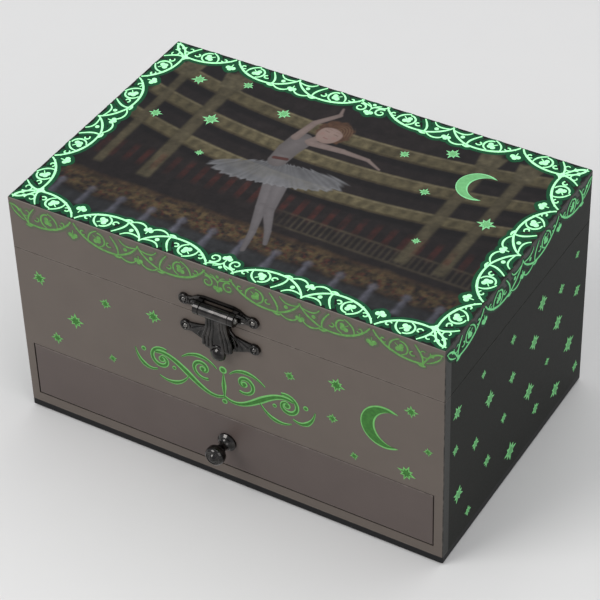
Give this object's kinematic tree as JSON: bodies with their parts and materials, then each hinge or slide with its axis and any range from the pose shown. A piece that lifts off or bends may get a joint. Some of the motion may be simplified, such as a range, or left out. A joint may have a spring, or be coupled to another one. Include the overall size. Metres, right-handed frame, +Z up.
{
  "type": "musical jewellery box",
  "caption": "Printed musical jewellery box with hinged lid, hasp, lined tray, drawer with a round knob, mirror and a turning ballerina driven by a wind-up comb movement.",
  "frame": {"origin": "middle of the underside, on the plane the box stands on", "axes": "+Z up, +X to the box's right along its width, +Y to its back"},
  "size_m": [0.19, 0.147, 0.1076],
  "materials": {
    "black_felt": "short black felt",
    "base_paint": "satin black paint",
    "front_print": "taupe printed paper, satin varnish",
    "side_print": "charcoal printed paper, satin varnish",
    "lid_print": "printed picture under gloss film",
    "drawer_wood": "plain sawn board",
    "lining_velvet": "deep red flock",
    "roll_velvet": "deep red padded velvet",
    "mirror_glass": "silvered glass",
    "gunmetal": "polished black nickel",
    "gunmetal_nail": "polished black nickel",
    "steel": "bright steel",
    "movement_plate": "zinc-plated steel",
    "brass": "lacquered brass",
    "comb_steel": "hardened steel",
    "turntable_plastic": "white gloss",
    "figure_plastic": "painted plastic",
    "tutu_tulle": "pale pink net"
  },
  "bodies": {
    "case": {"base_felt": "black_felt", "base_panel": "base_paint", "case_front": "front_print", "case_left": "side_print", "case_right": "side_print", "case_back": "side_print", "drawer_runners": "drawer_wood", "compartment_floor": "drawer_wood", "lining_front": "lining_velvet", "lining_back": "lining_velvet", "lining_sides": "lining_velvet", "floor_lining": "lining_velvet", "partition_long": "lining_velvet", "partition_short": "lining_velvet", "stage_panel": "lining_velvet", "ring_rolls": "roll_velvet", "hinge_case_leaves": "gunmetal", "hinge_case_screws": "steel", "hinge_pins": "steel", "latch_keeper": "gunmetal", "latch_keeper_nails": "gunmetal_nail", "movement_frame": "movement_plate", "movement_bridge": "movement_plate", "movement_screws": "steel", "comb": "comb_steel", "comb_block": "movement_plate", "comb_screws": "steel"},
    "lid": {"lid_top": "lid_print", "lid_front": "front_print", "lid_back": "side_print", "lid_left": "side_print", "lid_right": "side_print", "lid_lining": "lining_velvet", "mirror": "mirror_glass", "hinge_lid_leaves": "gunmetal", "hinge_lid_screws": "steel", "latch_plate": "gunmetal", "latch_plate_nails": "gunmetal_nail", "latch_pin": "steel"},
    "hasp": {"latch_hasp": "gunmetal"},
    "drawer": {"drawer_front": "front_print", "drawer_bottom": "drawer_wood", "drawer_sides": "drawer_wood", "drawer_back": "drawer_wood", "drawer_lining": "lining_velvet", "drawer_knob": "gunmetal", "knob_screw": "steel"},
    "key": {"winding_key": "brass", "winding_shaft": "steel"},
    "barrel": {"spring_barrel": "brass"},
    "music_cylinder": {"cylinder": "brass"},
    "idler": {"idler_wheel": "brass"},
    "governor_fan": {"governor": "steel"},
    "stop": {"stop_wire": "steel"},
    "dancer": {"dancer_spindle": "steel", "turntable": "turntable_plastic", "figure_spring": "steel", "dancer_figure": "figure_plastic", "dancer_tutu": "tutu_tulle"}
  },
  "joints": [
    {"name": "lid_hinge", "type": "hinge", "parent": "case", "child": "lid", "pos_m": [0, 0.0626, 0.08335], "axis": [-1, 0, 0], "range_deg": [0, 100]},
    {"name": "hasp_hinge", "type": "hinge", "parent": "lid", "child": "hasp", "pos_m": [0, -0.0638, 0.089], "axis": [-1, 0, 0], "range_deg": [0, 110]},
    {"name": "drawer_slide", "type": "slide", "parent": "case", "child": "drawer", "axis": [0, -1, 0], "range_m": [0, 0.08]},
    {"name": "cylinder_turn", "type": "hinge", "parent": "case", "child": "music_cylinder", "pos_m": [0, 0.0165, 0.051], "axis": [0, 1, 0], "continuous": true},
    {"name": "barrel_turn", "type": "hinge", "parent": "case", "child": "barrel", "pos_m": [-0.0126, 0.031, 0.051], "axis": [0, 1, 0], "continuous": true},
    {"name": "dancer_turn", "type": "hinge", "parent": "case", "child": "dancer", "pos_m": [0, 0.0164, 0.0618], "axis": [0, 0, 1], "continuous": true},
    {"name": "idler_turn", "type": "hinge", "parent": "case", "child": "idler", "pos_m": [0.008, 0.0142, 0.051], "axis": [0, 1, 0], "continuous": true},
    {"name": "governor_turn", "type": "hinge", "parent": "case", "child": "governor_fan", "pos_m": [0.0143, 0.0106, 0.051], "axis": [0, 0, 1], "continuous": true},
    {"name": "key_turn", "type": "hinge", "parent": "case", "child": "key", "pos_m": [-0.0126, 0.061, 0.051], "axis": [0, 1, 0], "continuous": true},
    {"name": "stop_lift", "type": "slide", "parent": "case", "child": "stop", "axis": [0, 0, 1], "range_m": [0, 0.0016]}
  ],
  "couplings": [
    {"joint": "barrel_turn", "follows": "cylinder_turn", "ratio": -0.3125},
    {"joint": "dancer_turn", "follows": "cylinder_turn", "ratio": 0.83333},
    {"joint": "idler_turn", "follows": "cylinder_turn", "ratio": -4},
    {"joint": "governor_turn", "follows": "cylinder_turn", "ratio": -80},
    {"joint": "stop_lift", "follows": "lid_hinge", "m_per_rad": 0.00086}
  ]
}
